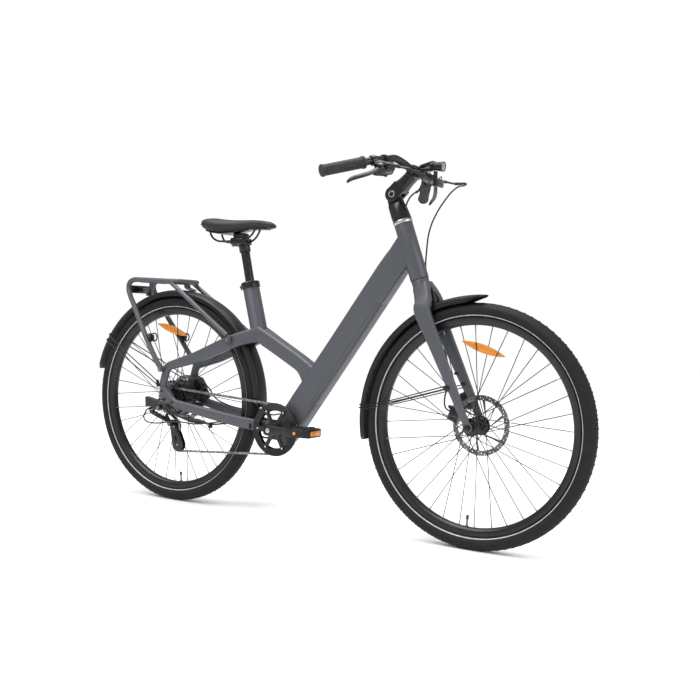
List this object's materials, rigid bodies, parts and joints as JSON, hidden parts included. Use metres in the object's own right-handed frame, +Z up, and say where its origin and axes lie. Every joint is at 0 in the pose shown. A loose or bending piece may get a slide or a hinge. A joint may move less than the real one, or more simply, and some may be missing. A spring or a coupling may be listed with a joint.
{
  "type": "electric bicycle",
  "caption": "Step-through city electric bicycle with a battery in the down tube, rear hub motor, disc brakes, mudguards, luggage carrier, lights and a folding side stand.",
  "frame": {"origin": "ground level below the middle of the bicycle's length, in its middle plane", "axes": "+X forward, +Y to the rider's left, +Z up"},
  "size_m": [1.8842, 0.6496, 1.1556],
  "materials": {
    "frame_paint": "satin grey paint",
    "black_metal": "black anodised",
    "black_plastic": "matt black plastic",
    "grip_rubber": "soft rubber",
    "tyre_rubber": "tyre rubber with a reflecting stripe",
    "silver_metal": "bright",
    "steel": "brushed",
    "saddle_cover": "padded cover",
    "clear_lens": "clear",
    "red_lens": "dark red lens",
    "orange_lens": "orange reflector"
  },
  "bodies": {
    "frame": {"frame": "frame_paint", "headset_ring": "silver_metal", "bottom_bracket": "steel", "seat_collar": "black_metal", "carrier": "frame_paint", "tail_light": "red_lens", "rear_mudguard": "black_plastic", "rear_caliper": "black_metal", "rear_cables": "black_plastic", "derailleur_hanger_knuckle": "black_metal", "chain": "silver_metal", "rear_axle": "steel"},
    "battery": {"battery": "frame_paint"},
    "steering": {"fork": "frame_paint", "stem_base": "black_metal", "front_axle": "steel", "front_mudguard": "black_plastic", "front_caliper": "black_metal", "front_brake_cable": "grip_rubber"},
    "handlebar": {"stem_arm": "black_metal", "handlebar": "black_metal", "right_grip": "grip_rubber", "left_grip": "grip_rubber", "right_brake_mount": "black_metal", "left_brake_mount": "black_metal", "shifter_body": "black_plastic", "bell": "black_metal", "display": "black_plastic", "headlight": "black_plastic", "headlight_lens": "clear_lens", "control_cables": "grip_rubber"},
    "right_brake_lever": {"right_brake_lever": "black_metal"},
    "left_brake_lever": {"left_brake_lever": "black_metal"},
    "shifter_lever": {"shifter_lever": "black_plastic"},
    "bell_striker": {"bell_striker": "black_metal"},
    "display_button": {"display_button": "black_plastic"},
    "front_wheel": {"front_hub": "black_metal", "front_rim": "black_metal", "front_tyre": "tyre_rubber", "front_disc": "steel", "front_wheel_reflector": "orange_lens"},
    "rear_wheel": {"rear_hub_motor": "black_metal", "rear_rim": "black_metal", "rear_tyre": "tyre_rubber", "rear_disc": "steel", "rear_wheel_reflector": "orange_lens"},
    "crank": {"right_crank": "black_metal", "left_crank": "black_metal"},
    "right_pedal": {"right_pedal": "black_plastic"},
    "left_pedal": {"left_pedal": "black_plastic"},
    "cassette": {"cassette": "black_metal"},
    "derailleur_link": {"derailleur_link": "black_metal"},
    "derailleur_knuckle": {"derailleur_pivot_knuckle": "black_metal"},
    "derailleur_cage": {"derailleur_cage": "black_metal"},
    "jockey_upper": {"jockey_wheel_upper": "black_plastic"},
    "jockey_lower": {"jockey_wheel_lower": "black_plastic"},
    "kickstand": {"kickstand": "black_metal"},
    "seat": {"seatpost": "black_metal", "saddle_rails": "black_metal", "saddle": "saddle_cover"}
  },
  "joints": [
    {"name": "steering", "type": "hinge", "parent": "frame", "child": "steering", "pos_m": [0.38268, 0, 0.78603], "axis": [-0.3502, 0, 0.9367], "range_deg": [-60, 60], "deforming": ["front_brake_cable"]},
    {"name": "stem_angle", "type": "hinge", "parent": "steering", "child": "handlebar", "pos_m": [0.28585, 0, 1.04502], "axis": [0, 1, 0], "range_deg": [-35, 15], "deforming": ["control_cables", "front_brake_cable"]},
    {"name": "right_brake", "type": "hinge", "parent": "handlebar", "child": "right_brake_lever", "pos_m": [0.33513, -0.17741, 1.1], "axis": [-0.4837, 0.5309, -0.6958], "range_deg": [0, 9], "stiffness_Nm_per_rad": 1.2, "springref_deg": -5.73},
    {"name": "left_brake", "type": "hinge", "parent": "handlebar", "child": "left_brake_lever", "pos_m": [0.33513, 0.17741, 1.1], "axis": [0.4837, 0.5309, 0.6958], "range_deg": [0, 9], "stiffness_Nm_per_rad": 1.2, "springref_deg": -5.73},
    {"name": "shift", "type": "hinge", "parent": "handlebar", "child": "shifter_lever", "pos_m": [0.32265, -0.12321, 1.09438], "axis": [0.5556, -0.2293, 0.7992], "range_deg": [0, 15], "stiffness_Nm_per_rad": 0.3, "springref_deg": -5.73},
    {"name": "bell_hammer", "type": "hinge", "parent": "handlebar", "child": "bell_striker", "pos_m": [0.34483, 0.12953, 1.11572], "axis": [0.9523, 0.3042, -0.0233], "range_deg": [0, 15], "stiffness_Nm_per_rad": 0.03, "springref_deg": -5.73},
    {"name": "display_press", "type": "slide", "parent": "handlebar", "child": "display_button", "axis": [0.2501, 0, -0.9682], "range_m": [0, 0.0008], "stiffness_N_per_m": 300, "springref_m": -0.001},
    {"name": "front_wheel_turn", "type": "hinge", "parent": "steering", "child": "front_wheel", "pos_m": [0.58109, 0, 0.361], "axis": [0, 1, 0], "continuous": true},
    {"name": "rear_wheel_turn", "type": "hinge", "parent": "frame", "child": "rear_wheel", "pos_m": [-0.56891, 0, 0.361], "axis": [0, 1, 0], "continuous": true},
    {"name": "crank_turn", "type": "hinge", "parent": "frame", "child": "crank", "pos_m": [-0.10191, 0, 0.294], "axis": [0, 1, 0], "continuous": true, "deforming": ["chain"]},
    {"name": "right_pedal_turn", "type": "hinge", "parent": "crank", "child": "right_pedal", "pos_m": [0.06844, -0.085, 0.3089], "axis": [0, 1, 0], "continuous": true},
    {"name": "left_pedal_turn", "type": "hinge", "parent": "crank", "child": "left_pedal", "pos_m": [-0.27226, 0.085, 0.2791], "axis": [0, 1, 0], "continuous": true},
    {"name": "cassette_turn", "type": "hinge", "parent": "frame", "child": "cassette", "pos_m": [-0.56891, -0.043, 0.361], "axis": [0, 1, 0], "continuous": true},
    {"name": "derailleur_swing", "type": "hinge", "parent": "frame", "child": "derailleur_link", "pos_m": [-0.60291, -0.08, 0.321], "axis": [0.4229, 0, 0.9062], "range_deg": [-20, 10], "deforming": ["chain"]},
    {"name": "derailleur_level", "type": "hinge", "parent": "derailleur_link", "child": "derailleur_knuckle", "pos_m": [-0.55791, -0.066, 0.3], "axis": [0.4229, 0, 0.9062], "range_deg": [-10, 20]},
    {"name": "cage_swing", "type": "hinge", "parent": "derailleur_knuckle", "child": "derailleur_cage", "pos_m": [-0.54191, -0.043, 0.278], "axis": [0, 1, 0], "range_deg": [-12, 30], "stiffness_Nm_per_rad": 0.5, "deforming": ["chain"]},
    {"name": "upper_jockey_turn", "type": "hinge", "parent": "derailleur_cage", "child": "jockey_upper", "pos_m": [-0.53495, -0.043, 0.26697], "axis": [0, 1, 0], "continuous": true},
    {"name": "lower_jockey_turn", "type": "hinge", "parent": "derailleur_cage", "child": "jockey_lower", "pos_m": [-0.51719, -0.043, 0.2039], "axis": [0, 1, 0], "continuous": true},
    {"name": "kickstand_swing", "type": "hinge", "parent": "frame", "child": "kickstand", "pos_m": [-0.48091, 0.0985, 0.338], "axis": [0, -1, 0], "range_deg": [0, 95]},
    {"name": "seat_height", "type": "slide", "parent": "frame", "child": "seat", "axis": [-0.2334, 0, 0.9724], "range_m": [-0.035, 0.02]},
    {"name": "battery_slide", "type": "slide", "parent": "frame", "child": "battery", "axis": [0.8181, 0, -0.575], "range_m": [0, 0.04]}
  ],
  "couplings": [
    {"joint": "cassette_turn", "follows": "crank_turn", "ratio": 2},
    {"joint": "upper_jockey_turn", "follows": "crank_turn", "ratio": -3.6364},
    {"joint": "lower_jockey_turn", "follows": "crank_turn", "ratio": 3.6364},
    {"joint": "derailleur_level", "follows": "derailleur_swing", "ratio": -1}
  ]
}
